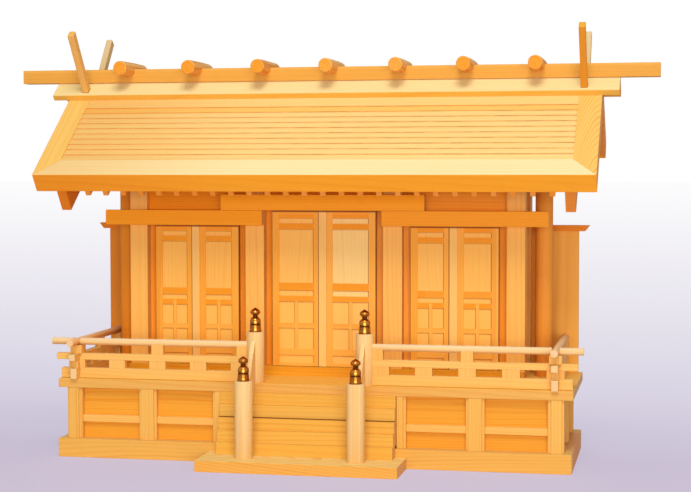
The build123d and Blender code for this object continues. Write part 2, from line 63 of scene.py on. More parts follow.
class Wire:
    """A socket in a material's node tree, so that shader maths reads as Python."""

    def __init__(self, socket):
        self.socket = socket

    def node(self, kind, values, output=0, **settings):
        """Add a node: its settings first, then values or wires for its sockets."""
        tree = self.socket.id_data
        made = tree.nodes.new("ShaderNode" + kind)
        for setting, value in settings.items():
            setattr(made, setting, value)
        for name, value in values.items():
            if isinstance(value, Wire):
                tree.links.new(value.socket, made.inputs[name])
            else:
                made.inputs[name].default_value = value
        return Wire(made.outputs[output])

    def part(self, name):
        """Another output of the node that this wire comes from."""
        return Wire(self.socket.node.outputs[name])

    def reckon(self, operation, first, second=0.0):
        return self.node("Math", {0: first, 1: second}, operation=operation)

    def __add__(self, other):
        return self.reckon("ADD", self, other)

    def __sub__(self, other):
        return self.reckon("SUBTRACT", self, other)

    def __rsub__(self, other):
        return self.reckon("SUBTRACT", other, self)

    def __mul__(self, other):
        return self.reckon("MULTIPLY", self, other)

    def __truediv__(self, other):
        return self.reckon("DIVIDE", self, other)

    __radd__, __rmul__ = __add__, __mul__

    def size(self):
        return self.reckon("ABSOLUTE", self)

    def floor(self):
        return self.reckon("FLOOR", self)

    def fraction(self):
        return self.reckon("FRACT", self)

    def larger(self, other):
        return self.reckon("MAXIMUM", self, other)

    def ease(self, low, high):
        """0 below low, 1 above high, and smooth between them."""
        return self.node("MapRange", {"Value": self, "From Min": low, "From Max": high},
                         interpolation_type="SMOOTHSTEP")

    def between(self, low, high, soft=0.15):
        """1 inside a range, fading out over a soft edge."""
        return self.ease(low - soft, low + soft) * (1 - self.ease(high - soft, high + soft))

    def tones(self, at_none, at_full):
        """A colour that goes from one tone to another as this number goes from 0 to 1."""
        return self.node("Mix", {0: self, 6: at_none, 7: at_full}, output=2, data_type="RGBA")

    def tinted(self, factor, colour, blend="MIX"):
        """This colour with another laid over it."""
        return self.node("Mix", {0: factor, 6: self, 7: colour}, output=2, data_type="RGBA",
                         blend_type=blend)

    def vector(self, operation, other=(0, 0, 0)):
        return self.node("VectorMath", {0: self, 1: other}, operation=operation)

    def letters(self):
        """A vector's three numbers."""
        split = self.node("SeparateXYZ", {"Vector": self})
        return split.part("X"), split.part("Y"), split.part("Z")

    def noise(self, fine, detail, roughness=0.5):
        """Cloudy noise around this place, as fine as said along each axis."""
        return self.node("TexNoise", {"Vector": self.vector("MULTIPLY", fine), "Scale": 1.0,
                                      "Detail": detail, "Roughness": roughness})


def fresh_material(name):
    """An empty material: its shader, and Object coordinates in millimetres."""
    material = bpy.data.materials.new(name)
    material.use_nodes = True
    tree = material.node_tree
    shader = tree.nodes["Principled BSDF"]
    place = Wire(tree.nodes.new("ShaderNodeTexCoord").outputs["Object"])
    return material, shader, place.vector("MULTIPLY", (1000, 1000, 1000))


def feed(shader, **values):
    """Set a shader's sockets, by their names, to values or wires."""
    for name, value in values.items():
        socket = shader.inputs[name.replace("_", " ")]
        if isinstance(value, Wire):
            shader.id_data.links.new(value.socket, socket)
        else:
            socket.default_value = value


def wood(place, side, top=None, under=None, end=(0.74, 0.44, 0.20, 1), along="x",
         cell=(2000, 2000, 2000), shift=None, ring=1.8, lines=0.5, heart=14.0, lean=0.0, wave=8.0,
         pith=24.0, spread=0.10, end_mix=0.6):
    """Planed cypress, as a colour and a relief. Lengths are in millimetres.

    side, top, under and end are its tones by the way a face looks, and along is the way its fibres
    run. cell is the space that one board takes, each board with its own luck, and shift moves the
    cells, which otherwise have one centred on the origin. ring is a year's width and lines its
    contrast. heart is how deep the middle of the tree lies below a board, up to pith deeper and
    half of it aside, lean slants it so that the rings end in arches, and wave is how far they
    wander. spread is how much boards differ in tone, and end_mix how strongly the end tone shows."""
    shift = shift or [length / 2 for length in cell]
    # Painted light and shade: the default top tone is paler and the default under tone darker than the
    # side tone.
    top = top or (min(0.95, side[0] * 1.02), side[1] * 1.22, side[2] * 1.75, 1)
    under = under or (side[0] * 0.97, side[1] * 0.80, side[2] * 0.62, 1)
    stretched, wobble_fine, cloud_fine, fibre_fine, fibre_fine_along = 0.12, 0.03, 0.02, 1.7, 0.035
    stretch = [stretched if letter == along else 1 for letter in "xyz"]
    fibres = [fibre_fine_along if letter == along else fibre_fine for letter in "xyz"]

    spot = place.vector("ADD", shift).vector("DIVIDE", cell)
    board = spot.node("TexWhiteNoise", {"Vector": spot.vector("FLOOR")}, output="Color",
                      noise_dimensions="3D")
    luck = board.node("SeparateColor", {"Color": board})
    aside_luck, slant_luck, deep_luck = luck.part("Red"), luck.part("Green"), luck.part("Blue")
    own = spot.vector("FRACTION").vector("SUBTRACT", (0.5, 0.5, 0.5)).vector("MULTIPLY", cell)
    own = dict(zip("xyz", own.letters()))
    run, across, deep = [own[letter] for letter in {"x": "xyz", "y": "yxz", "z": "zxy"}[along]]

    wobble = place.noise([s * wobble_fine for s in stretch], 2.0, 0.45)
    across = across + (aside_luck - 0.5) * pith + run * ((slant_luck - 0.5) * 0.05) + wobble * wave
    deep = deep + deep_luck * pith + heart + wobble * (wave * 0.7) + run * lean
    years = across.reckon("SQRT", across * across + deep * deep) / ring
    season = years.fraction()
    year_luck = years.node("TexWhiteNoise", {"W": years.floor()}, noise_dimensions="1D")
    late = season.ease(0.42, 0.88) * (1 - season.ease(0.90, 1.0)) * (0.4 + year_luck)
    fibre = place.noise(fibres, 4.0, 0.6)
    cloud = place.noise([s * cloud_fine for s in stretch], 2.0)

    facing = dict(zip("xyz", place.node("NewGeometry", {}, output="Normal").letters()))
    # Painted light and shade: faces turned up take the paler top tone, faces turned down the darker
    # under tone; the end tone is the end grain's own.
    colour = facing["z"].ease(0.15, 0.95).tones(side, top)
    colour = colour.tinted((facing["z"] * -1).ease(0.15, 0.9), under)
    colour = colour.tinted(facing[along].size().ease(0.85, 0.97) * end_mix, end)
    uneven = (slant_luck - 0.5).size() * (2 * spread) + cloud.ease(0.35, 0.75) * 0.14
    colour = colour.tinted(uneven, (0.88, 0.72, 0.52, 1), "MULTIPLY")
    colour = colour.tinted(deep_luck.ease(0.45, 1.0) * (spread * 1.3), (0.98, 0.65, 0.22, 1))
    colour = colour.tinted(late * lines, (0.90, 0.72, 0.48, 1), "MULTIPLY")
    colour = colour.tinted(fibre.ease(0.42, 0.78) * 0.35, (0.93, 0.83, 0.66, 1), "MULTIPLY")
    return colour, late * 0.5 + fibre * 0.5


def finish(shader, colour, relief):
    """Planed and unvarnished: a low, slightly silky sheen, and fibres that just stand up."""
    fibre_height_m = 0.0002
    bump = relief.node("Bump", {"Height": relief, "Strength": 0.12, "Distance": fibre_height_m})
    feed(shader, Base_Color=colour, Roughness=0.52 + relief * 0.16, Normal=bump,
         Specular_IOR_Level=0.12)


def cypress(name, side, **look):
    """A material of one kind of board."""
    material, shader, place = fresh_material(name)
    finish(shader, *wood(place, side, **look))
    return material


def dress(names, material, eased_mm=0.35):
    """Give CAD pieces their finish, and ease their edges."""
    weld_mm, sharp_degrees = 0.02, 40
    for name in names:
        piece = nodes[name]
        piece.data.materials.clear()
        piece.data.materials.append(material)
        if eased_mm:
            weld = piece.modifiers.new("joined", "WELD")
            weld.merge_threshold = weld_mm / 1000
            eased = piece.modifiers.new("eased", "BEVEL")
            eased.width = eased_mm / 1000
            eased.segments = 2
            eased.limit_method = "ANGLE"
            eased.angle_limit = math.radians(sharp_degrees)
            eased.harden_normals = True


# The end boards get a deeper tone than the long boards as painted shade on their sides, and the step
# board's top a paler one as painted light.
base_tone = (0.80, 0.43, 0.085, 1)
base_end_shade_tone, base_end_grain_tone = (0.72, 0.29, 0.070, 1), (0.60, 0.36, 0.19, 1)
step_base_tone, step_base_top_lit_tone = (0.80, 0.38, 0.055, 1), (0.94, 0.76, 0.30, 1)
dress(["base_long_boards"],
      cypress("base_board", base_tone, along="x", cell=(1000, 120, 100), ring=2.3, lines=0.55))
dress(["base_end_boards"],
      cypress("base_end_board", base_end_shade_tone, end=base_end_grain_tone, along="y",
              cell=(500, 1000, 100), shift=(0, 500, 50)))
dress(["step_base"],
      cypress("step_board", step_base_tone, top=step_base_top_lit_tone, along="x", cell=(1000, 300, 200),
              shift=(620, 230, 110), ring=2.6, lines=0.75, lean=0.10, wave=14, pith=16))


# The podium: rebated posts tenoned between base and floor, one rail across each bay, and behind
# them panels glued up from two boards, with a fine dark line of painted shadow along their joint where
# the floor's shade ends.
podium_post_tone = (0.82, 0.45, 0.092, 1)
podium_rail_tone = (0.88, 0.49, 0.115, 1)
podium_panel_tone, panel_shadow_edge_tone = (0.84, 0.37, 0.033, 1), (0.30, 0.11, 0.03, 1)
panel_joint_z, panel_shadow_edge_w = 53.0, 0.24
dress(["podium_posts"],
      cypress("podium_post", podium_post_tone, along="z", cell=(60, 60, 1000), shift=(27, 27, 500),
              ring=1.6))
dress(["podium_mid_rails"],
      cypress("podium_rail", podium_rail_tone, along="x", cell=(156, 90, 1000)))
panel_wood, shader, place = fresh_material("podium_panel")
colour, relief = wood(place, podium_panel_tone, along="x", cell=(310, 60, panel_joint_z),
                      shift=(0, 30, 0), ring=2.4, lines=0.6, wave=12)
x, y, z = place.letters()
# Painted shadow: the fine dark line where the shade under the floor ends, laid along the boards' joint.
joint_and_shade_line = z.between(panel_joint_z - panel_shadow_edge_w / 2, panel_joint_z + panel_shadow_edge_w / 2, 0.14)
finish(shader, colour.tinted(joint_and_shade_line * 0.55, panel_shadow_edge_tone), relief)
dress(["podium_panels"], panel_wood)


# The veranda floor is one wide slab, and the five steps are thick planks stacked against it, each
# a little further forward than the one above. They are glued, with one open joint halfway.
# The slab's top tone is paler than its front as painted light.
floor_tone, floor_top_lit_tone, floor_end_tone = (
    (0.75, 0.385, 0.078, 1), (0.94, 0.56, 0.090, 1), (0.66, 0.42, 0.22, 1))
step_tone = (0.79, 0.42, 0.063, 1)
# One dark tone serves both the steps' real open joint and the painted contact shade under the front
# rails.
joint_and_contact_shade_tone = (0.16, 0.045, 0.008, 1)
step_count, plank_h, step_base_top_z = 5, 11.26, 10.4
open_joint_z = 44.2
dress(["veranda_floor"],
      cypress("floor_slab", floor_tone, top=floor_top_lit_tone, end=floor_end_tone, along="x",
              cell=(1000, 400, 200), shift=(500, 170, 30), ring=2.2, lines=0.45))
step_wood, shader, place = fresh_material("step_plank")
colour, relief = wood(place, step_tone, along="x", cell=(1000, 200, plank_h),
                      shift=(450, 100, plank_h - step_base_top_z), ring=2.0, lines=0.55, spread=0.06)
x, y, z = place.letters()
joint_and_shade_line = z.between(open_joint_z - 0.2, open_joint_z + 0.25, 0.2)
finish(shader, colour.tinted(joint_and_shade_line * 0.9, joint_and_contact_shade_tone), relief)
dress([f"stair_step_{i + 1}" for i in range(step_count)], step_wood, 0.25)


# Newel posts, turned from pale straight-grained stock, and the boards of the stair handrail that
# are let in between them.
turned_tone, turned_end_tone = (0.86, 0.57, 0.235, 1), (0.80, 0.55, 0.32, 1)
handrail_tone = (0.90, 0.58, 0.21, 1)
dress(["newel_posts"],
      cypress("turned_post", turned_tone, end=turned_end_tone, along="z", cell=(60, 30, 1000),
              ring=2.8, lines=0.35), 0.3)
dress(["stair_handrails"],
      cypress("handrail_board", handrail_tone, along="z", cell=(40, 200, 1000), ring=2.0, lines=0.35))


# Caps of the newels: cast and turned brass, darkened with age and bright where hands have polished
# it. Each has a flared foot, a sleeve with a step, a rounded shoulder, a collar and an onion-shaped
# ball, and stands on the top of its post.

def box_mm(name):
    """A CAD piece's lowest and highest corners, in millimetres."""
    low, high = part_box(name)
    return [round(v * 1000, 3) for v in low], [round(v * 1000, 3) for v in high]


# Radius and height of each cap's outline in millimetres, from the foot up
cap_foot = [(5.75, 0.0), (5.95, 0.2), (5.95, 0.8), (5.75, 1.05), (5.5, 1.25), (5.4, 2.0), (5.3, 4.0)]
cap_step = [(5.25, 6.3), (4.95, 6.55), (4.85, 7.2), (4.95, 7.8), (5.2, 8.05)]
cap_shoulder = [(5.15, 10.2), (5.0, 11.1), (4.65, 12.0), (4.05, 12.8), (3.2, 13.5), (2.5, 13.9)]
cap_collar = [(2.15, 14.1), (2.15, 14.3), (2.8, 14.5), (2.9, 14.8), (2.65, 15.05), (2.1, 15.2)]
cap_ball = [(2.1, 15.6), (2.8, 15.9), (3.7, 16.5), (4.4, 17.3), (4.72, 18.2), (4.74, 18.9),
            (4.5, 19.6), (3.95, 20.3), (3.2, 20.95), (2.3, 21.55), (1.4, 22.1)]
cap_tip = [(0.7, 22.5), (0.25, 22.68)]
cap_outline = cap_foot + cap_step + cap_shoulder + cap_collar + cap_ball + cap_tip
cap_turns = 40

bpy.ops.object.select_all(action="DESELECT")
bpy.ops.mesh.primitive_circle_add(vertices=cap_turns, radius=cap_outline[0][0] / 1000,
                                  fill_type="NGON", location=(0, 0, 0))
cap = bpy.context.object
bpy.ops.object.mode_set(mode="EDIT")
bpy.ops.mesh.select_all(action="SELECT")
for (r0, z0), (r1, z1) in zip(cap_outline, cap_outline[1:]):
    bpy.ops.mesh.extrude_region_move(TRANSFORM_OT_translate={"value": (0, 0, (z1 - z0) / 1000)})
    bpy.ops.transform.resize(value=(r1 / r0, r1 / r0, 1), center_override=(0, 0, z1 / 1000))
bpy.ops.mesh.select_all(action="SELECT")
bpy.ops.mesh.normals_make_consistent(inside=False)
bpy.ops.object.mode_set(mode="OBJECT")
bpy.ops.object.shade_smooth_by_angle(angle=math.radians(34))

cad_cap_r, cad_cap_h = 6.0, 22.7
caps_low, caps_high = box_mm("newel_caps")
newel_x = caps_high[0] - cad_cap_r
upper_newel_y, lower_newel_y = -54.9, -98.9
upper_newel_top_z, lower_newel_top_z = caps_high[2] - cad_cap_h, caps_low[2]
tool_mark_m = 0.0002
brass_tone, tarnish_tone, soot_tone = (
    (0.45, 0.17, 0.024, 1), (0.13, 0.033, 0.004, 1), (0.06, 0.015, 0.004, 1))
hollows = ((-1.0, 0.2), (1.1, 1.4), (6.4, 8.0), (13.7, 14.4), (15.0, 15.9))
cap_metal, shader, place = fresh_material("cap_brass")
x, y, z = place.letters()
worn = place.noise((0.35, 0.35, 0.35), 5.0)
turning = place.noise((0.02, 0.02, 5.0), 2.0)
soot = z * 0
for top_z in (upper_newel_top_z, lower_newel_top_z):
    for low, high in hollows:
        soot = soot + z.between(top_z + low, top_z + high, 0.12)
colour = (worn.ease(0.45, 0.75) * 0.5).tones(brass_tone, tarnish_tone).tinted(soot * 0.85, soot_tone)
bump = turning.node("Bump", {"Height": turning, "Strength": 0.15, "Distance": tool_mark_m})
feed(shader, Base_Color=colour, Metallic=1.0, Roughness=0.12 + worn * 0.12 + soot * 0.25, Normal=bump)
cap.data.materials.append(cap_metal)
newel_tops = [(side * newel_x, *top) for side in (-1, 1)
              for top in ((upper_newel_y, upper_newel_top_z), (lower_newel_y, lower_newel_top_z))]
for i, top in enumerate(newel_tops):
    piece = cap.copy()
    piece.data = cap.data.copy()
    piece.name = f"newel_cap_{i + 1}"
    piece.data.transform(Matrix.Translation(Vector(top) / 1000))
    bpy.context.scene.collection.objects.link(piece)
    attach(piece, "shrine")
    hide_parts("newel_caps")
bpy.data.objects.remove(cap)


# The railing: square bottom and middle rails and a round top rail, half lapped where front and
# side cross, with their sawn ends run past. Short blocks stand between the rails. A fine dark line
# of painted contact shade runs along the foot of the front rails, and the side round rails are deeper in
# tone as painted shade.
rail_tone, rail_end_tone = (0.86, 0.49, 0.120, 1), (0.79, 0.62, 0.38, 1)
# The side round rails get a deeper tone than the front one: painted shade.
front_round_tone, side_round_shade_tone = (0.87, 0.58, 0.25, 1), (0.86, 0.48, 0.18, 1)
block_tone = (0.86, 0.47, 0.115, 1)
floor_top_z = box_mm("veranda_floor")[1][2]
front_rail_wood, shader, place = fresh_material("front_rail")
colour, relief = wood(place, rail_tone, end=rail_end_tone, along="x", cell=(1000, 200, 14), lines=0.4)
x, y, z = place.letters()
# Painted contact shade: a dark band along the rail's foot where it sits on the floor.
joint_and_shade_line = 1 - z.ease(floor_top_z + 0.3, floor_top_z + 0.8)
finish(shader, colour.tinted(joint_and_shade_line * 0.6, joint_and_contact_shade_tone), relief)
dress(["bottom_rails_front", "middle_rails_front"], front_rail_wood, 0.3)
dress(["bottom_rails_side", "middle_rails_side"],
      cypress("side_rail", rail_tone, end=rail_end_tone, along="y", cell=(400, 1000, 14),
              shift=(0, 500, 7), lines=0.4), 0.3)
dress(["top_rails_front"],
      cypress("front_round_rail", front_round_tone, end=rail_end_tone, along="x",
              cell=(1000, 200, 100), ring=2.6, lines=0.3), 0.25)
dress(["top_rails_side"],
      cypress("side_round_rail", side_round_shade_tone, end=rail_end_tone, along="y",
              cell=(400, 1000, 100), shift=(0, 500, 50), ring=2.6, lines=0.3), 0.25)
dress(["railing_blocks", "railing_struts"],
      cypress("rail_block", block_tone, along="z", cell=(20.2, 20.2, 1000), shift=(10, 10, 500),
              lines=0.35), 0.25)


# The body: squared posts tenoned into the floor, with the side, back and gable walls of thin
# boards let in between them.
# The walls get a deep red-brown tone for the shade they stand in between posts and pillars: painted
# shade.
post_tone, wall_shade_tone = (0.92, 0.48, 0.102, 1), (0.68, 0.17, 0.010, 1)
dress(["corner_posts", "front_inner_posts"],
      cypress("body_post", post_tone, along="z", cell=(62, 62, 1000), ring=1.4, lines=0.4, wave=3))
dress(["side_walls", "back_wall"],
      cypress("wall_board", wall_shade_tone, along="z", cell=(60, 60, 1000), ring=2.2, lines=0.55, wave=12,
              spread=0.07))
dress(["gable_walls"],
      cypress("gable_board", wall_shade_tone, along="y", cell=(500, 1000, 200), shift=(0, 500, 40)))


# Sill, heads and jambs frame the doorways. The lintels lie across the faces of the posts, the
# middle one on top of the two others, and frieze boards close the wall above them.
# Jambs, lintels and frieze, which sit in the eave's shade, get deeper and redder tones than the posts:
# painted shade.
sill_tone, head_tone, jamb_shade_tone = (0.78, 0.345, 0.019, 1), (0.90, 0.34, 0.02, 1), (0.93, 0.31, 0.020, 1)
side_lintel_shade_tone, middle_lintel_shade_tone = (0.95, 0.36, 0.014, 1), (0.96, 0.37, 0.010, 1)
frieze_shade_tone = (0.95, 0.33, 0.008, 1)
dress(["door_sill"],
      cypress("door_sill", sill_tone, along="x", cell=(1000, 200, 100), ring=1.6, lines=0.4))
dress(["side_lintels"],
      cypress("side_lintel", side_lintel_shade_tone, along="x", cell=(600, 300, 26), shift=(0, 150, 17),
              ring=1.5, lines=0.55, wave=5))
dress(["center_lintel"],
      cypress("middle_lintel", middle_lintel_shade_tone, along="x", cell=(600, 300, 26),
              shift=(300, 150, 17), ring=1.5, lines=0.55, wave=5))
dress(["door_heads"], cypress("door_head", head_tone, along="x", cell=(118, 200, 100)))
dress(["frieze_panels"],
      cypress("frieze_board", frieze_shade_tone, along="x", cell=(150, 200, 200), shift=(75, 100, 0),
              ring=2.2, lines=0.55, wave=12))
dress(["door_jambs"],
      cypress("door_jamb", jamb_shade_tone, along="z", cell=(60, 200, 1000), ring=1.4, lines=0.4, wave=3))


# The doors: three pairs of framed leaves on round pins. Stiles and rails are of orange straight
# wood, the thin panels of a paler figured board, and the right leaf carries the meeting strip. Fine dark
# lines of painted shadow run along each panel's right side and top and along the leaves' edges and
# heads.
leaf_low, leaf_high = box_mm("center_door_left")
leaf_front_y, leaf_back_y, before_strip_y = leaf_low[1], leaf_high[1], -5
panel_sunk, door_gap = 1.2, 0.4
hinge_stile_w, meeting_stile_w, strip_stile_w, muntin_w = 7.0, 5.1, 13.3, 3.0
split_low_z, split_high_z = 100.3, 147.0
middle_leaf_top_z = box_mm("center_lintel")[0][2] - door_gap
side_leaf_top_z = box_mm("side_lintels")[0][2] - door_gap
middle_panel_tops = (94.5, 121.0, split_high_z, 158.0, 217.4, 228.4)
side_panel_tops = (94.5, 118.8, 142.6, 152.6, 205.0, 215.3)
panel_shadow_w = 0.7
pale_rails_z, plain_rails_z = 119, 128
stile_tone = (0.90, 0.40, 0.045, 1)
door_rail_tone, low_rail_tone = (0.88, 0.33, 0.018, 1), (0.92, 0.45, 0.072, 1)
door_panel_tone, low_panel_tone = (0.95, 0.51, 0.102, 1), (0.93, 0.49, 0.092, 1)
palest_panel_tone = (0.93, 0.64, 0.225, 1)
strip_tone, door_shadow_tone = (0.90, 0.54, 0.148, 1), (0.20, 0.05, 0.010, 1)


def leaf_wood(name, right_hand, panel_tone, top_z, panel_tops):
    """A leaf's material, told apart into panels, rails, stiles and strip by its own measures."""
    low, high = box_mm(name)
    left = low[0] + (strip_stile_w if right_hand else hinge_stile_w)
    right = high[0] - (hinge_stile_w if right_hand else meeting_stile_w)
    muntin_left, muntin_right = (left + right - muntin_w) / 2, (left + right + muntin_w) / 2
    material, shader, place = fresh_material(name)
    x, y, z = place.letters()

    colour, relief = wood(place, stile_tone, along="z", cell=(31, 100, 1000), shift=(7, 50, 500),
                          ring=1.2, lines=0.4, wave=3)
    rail, rail_relief = wood(place, door_rail_tone, along="x", cell=(200, 100, 16), ring=1.2,
                             lines=0.45, wave=3)
    rail = rail.tinted((1 - z.ease(pale_rails_z, plain_rails_z)) * 0.8, low_rail_tone)
    panel, panel_relief = wood(place, panel_tone, along="z", cell=(90, 100, 1000),
                               shift=(45, 50, 400), ring=2.2, lines=0.25, lean=0.02, wave=6, pith=14)
    panel = panel.tinted((1 - z.ease(split_high_z - 2, split_high_z + 4)) * 0.8, low_panel_tone)

    split = z.between(split_low_z, split_high_z)
    muntin = x.between(muntin_left, muntin_right, 0.1) * split
    is_rail = x.between(left, right, 0.1) * (1 - muntin)
    is_panel = y.between(leaf_front_y + panel_sunk * 0.6, leaf_back_y - panel_sunk * 0.6, 0.1)
    colour = colour.tinted(muntin * 0.7, low_rail_tone).tinted(is_rail, rail).tinted(is_panel, panel)
    relief = relief + is_rail * (rail_relief - relief)
    relief = relief + is_panel * (panel_relief - relief)

    # Painted shadow: dark lines along each panel's right side and the muntin's left side, and at half
    # strength just under each rail.
    panel_shadow_line = x.between(right - 0.8, right + 0.2, 0.2)
    panel_shadow_line = panel_shadow_line.larger(x.between(muntin_left - panel_shadow_w, muntin_left + 0.1) * split)
    for panel_top in panel_tops:
        panel_shadow_line = panel_shadow_line.larger(z.between(panel_top - panel_shadow_w, panel_top + 0.2) * 0.5)
    colour = colour.tinted(panel_shadow_line * is_panel * 0.75, door_shadow_tone)
    # The strip for the right leaf, then painted shadow: dark bands at the leaf's edges by the gaps and
    # under its head.
    if right_hand:
        strip = wood(place, strip_tone, along="z", cell=(200, 100, 1000), ring=1.6, lines=0.3, wave=3)[0]
        is_strip = y.between(before_strip_y, leaf_front_y - 0.3)
        colour = colour.tinted(is_strip, strip)
        edge_shadow = x.between(high[0] - 0.45, high[0] + 1)
    else:
        edge_shadow = x.between(high[0] - 0.7, high[0] + 1).larger(x.between(low[0] - 1, low[0] + 0.5))
    edge_shadow = edge_shadow.larger(z.between(top_z - 1.6, top_z + 1))
    finish(shader, colour.tinted(edge_shadow * 0.8, door_shadow_tone), relief)
    return material


for bay in ("left", "center", "right"):
    measures = (side_leaf_top_z, side_panel_tops)
    if bay == "center":
        measures = (middle_leaf_top_z, middle_panel_tops)
    for hand in ("left", "right"):
        leaf = f"{bay}_door_{hand}"
        panel_tone = palest_panel_tone if leaf == "center_door_right" else door_panel_tone
        dress([leaf], leaf_wood(leaf, hand == "right", panel_tone, *measures), 0.2)


# Round ridge pillars stand free outside the gables, and a screen closes the back of each side
# veranda, capped with a board that is cut back below at its end. The left screen is coloured darker.
pillar_tone = (0.86, 0.295, 0.019, 1)
screen_tone, screen_cap_tone = (0.88, 0.40, 0.050, 1), (0.82, 0.25, 0.015, 1)
darkened_tone = (0.86, 0.58, 0.35, 1)
dress(["ridge_pillars"],
      cypress("ridge_pillar", pillar_tone, along="z", cell=(500, 200, 1000), shift=(0, 100, 500),
              ring=2.8, lines=0.4))
screen_wood, shader, place = fresh_material("screen_board")
colour, relief = wood(place, screen_tone, along="z", cell=(500, 300, 1000), shift=(0, 150, 500),
                      ring=2.4, lines=0.55, wave=10)
x, y, z = place.letters()
at_left = 1 - x.ease(-1, 1)
finish(shader, colour.tinted(at_left * 0.8, darkened_tone, "MULTIPLY"), relief)
dress(["screen_panels"], screen_wood)
dress(["screen_caps"],
      cypress("screen_cap", screen_cap_tone, along="x", cell=(500, 300, 200), shift=(0, 150, 100)))


# Roof timbers: wall plates on the posts, the ridge purlin on the pillars, slender rafters, and a
# bargeboard below each end of the roof. All are sawn square and glued where they meet.
# The wall plates, purlin and bargeboards, which sit in the eave's shade, get deep red-brown tones:
# painted shade.
timber_shade_tone, rafter_tone, barge_shade_tone = (
    (0.78, 0.23, 0.018, 1), (0.86, 0.35, 0.045, 1), (0.78, 0.25, 0.014, 1))
rafter_pitch = 17.67
dress(["wall_plates", "ridge_purlin"],
      cypress("roof_timber", timber_shade_tone, along="x", cell=(1000, 40, 300), shift=(500, 20, 0)))
dress(["rafters"],
      cypress("rafter", rafter_tone, along="y", cell=(rafter_pitch, 1000, 500), shift=(8.8, 500, 0),
              lines=0.3), 0.2)
dress(["bargeboards_front", "bargeboards_back"],
      cypress("bargeboard", barge_shade_tone, along="y", cell=(500, 1000, 500), shift=(0, 500, 0)))


# The roof: on each slope a field of lapped courses, framed by an eave board mitred with two verge
# boards, with a thin dark line of painted shadow under each course's butt. The eave board is
# quartersawn, its top palest as painted light and its front deepest as painted shade, and the right
# verges show the arches of a slash-sawn board.
beam_low, beam_high = box_mm("ridge_beam")
ridge_y = (beam_low[1] + beam_high[1]) / 2
apex_z = box_mm("roof_front")[1][2]
slope_run, slope_rise = 0.8, 0.6
field_start, course_pitch = 38.1, 8.64


def on_slope(place):
    """Coordinates along a roof slope: x along the ridge, y down from it, z out of the surface."""
    x, y, z = place.letters()
    off = (y - ridge_y).size()
    above = z - apex_z
    return place.node("CombineXYZ", {"X": x, "Y": off * slope_run - above * slope_rise,
                                     "Z": off * slope_rise + above * slope_run})


def deeper_at_left(colour, x):
    """The left end of the roof is coloured a little deeper than the rest."""
    return colour.tinted(1 - x.ease(-260, -30), (0.93, 0.80, 0.66, 1), "MULTIPLY")


# The top tones are paler as painted light, and the under tone deep as painted shade on faces turned
# down.
lap_side_tone, lap_under_shade_tone, lap_shadow_tone = (
    (0.80, 0.44, 0.12, 1), (0.88, 0.19, 0.005, 1), (0.42, 0.19, 0.035, 1))
course_top_lit_tone, head_top_lit_tone, first_course_tone = (
    (0.93, 0.68, 0.260, 1), (0.89, 0.65, 0.245, 1), (1.00, 0.80, 0.34, 1))
course_wood, shader, place = fresh_material("roof_course")
slope = on_slope(place)
x, down, out = slope.letters()
courses, relief = wood(slope, lap_side_tone, top=course_top_lit_tone, under=lap_under_shade_tone, along="x",
                       cell=(1000, course_pitch, 100),
                       shift=(500, course_pitch - field_start % course_pitch, 50),
                       ring=1.3, lines=0.35, spread=0.05, wave=4)
head_board = wood(slope, lap_side_tone, top=head_top_lit_tone, along="x", cell=(1000, 200, 100),
                  lines=0.35)[0]
in_field = down.ease(field_start - 0.1, field_start + 0.1)
first_course = down.between(field_start, field_start + course_pitch, 0.1)
colour = head_board.tinted(in_field, courses).tinted(first_course * 0.6, first_course_tone, "MULTIPLY")
# Painted shadow: a thin dark line under each course's butt, broken up and weaker towards the left.
lap = ((down - field_start) / course_pitch + 0.02).fraction()
breaks = slope.noise((0.05, 0.4, 0.4), 4.0)
lap_shadow_line = (1 - lap.ease(0.05, 0.12)) * in_field * (breaks.ease(0.38, 0.62) * 0.75 + 0.25)
lap_shadow_line = lap_shadow_line * (0.35 + x.ease(-200, 60) * 0.65)
finish(shader, deeper_at_left(colour.tinted(lap_shadow_line * 0.55, lap_shadow_tone), x), relief)
dress(["roof_front", "roof_back"], course_wood, 0.15)

# The fascia tone is deep as painted shade on the board's front and underside, and its top tone pale as
# painted light.
fascia_shade_tone, eave_top_lit_tone = (0.96, 0.385, 0.016, 1), (0.92, 0.81, 0.45, 1)
eave_wood, shader, place = fresh_material("eave_board")
slope = on_slope(place)
colour, relief = wood(slope, fascia_shade_tone, top=eave_top_lit_tone, under=fascia_shade_tone, along="x",
                      cell=(1000, 500, 200), shift=(500, 0, 100), ring=2.2, lines=0.30, wave=4,
                      spread=0.04)
x, down, out = slope.letters()
finish(shader, deeper_at_left(colour, x), relief)
dress(["roof_eave_boards"], eave_wood)

# The verge's top tone is paler than its side as painted light.
verge_tone, verge_top_lit_tone = (0.84, 0.33, 0.05, 1), (0.91, 0.58, 0.150, 1)
verge_wood, shader, place = fresh_material("verge_board")
slope = on_slope(place)
plain, plain_relief = wood(slope, verge_tone, top=verge_top_lit_tone, under=verge_tone, along="y",
                           cell=(488, 1000, 200), shift=(0, 420, 120), ring=1.8, lines=0.5, wave=5,
                           pith=6)
arched, arched_relief = wood(slope, verge_tone, top=verge_top_lit_tone, under=verge_tone, along="y",
                             cell=(60, 1000, 200), shift=(-241, 500, 100), ring=1.25, lines=1.0,
                             heart=36, lean=-0.13, wave=5, pith=2)
x, down, out = slope.letters()
at_right = x.ease(-1, 1)
finish(shader, plain.tinted(at_right, arched), plain_relief + at_right * (arched_relief - plain_relief))
dress(["roof_verge_boards"], verge_wood)


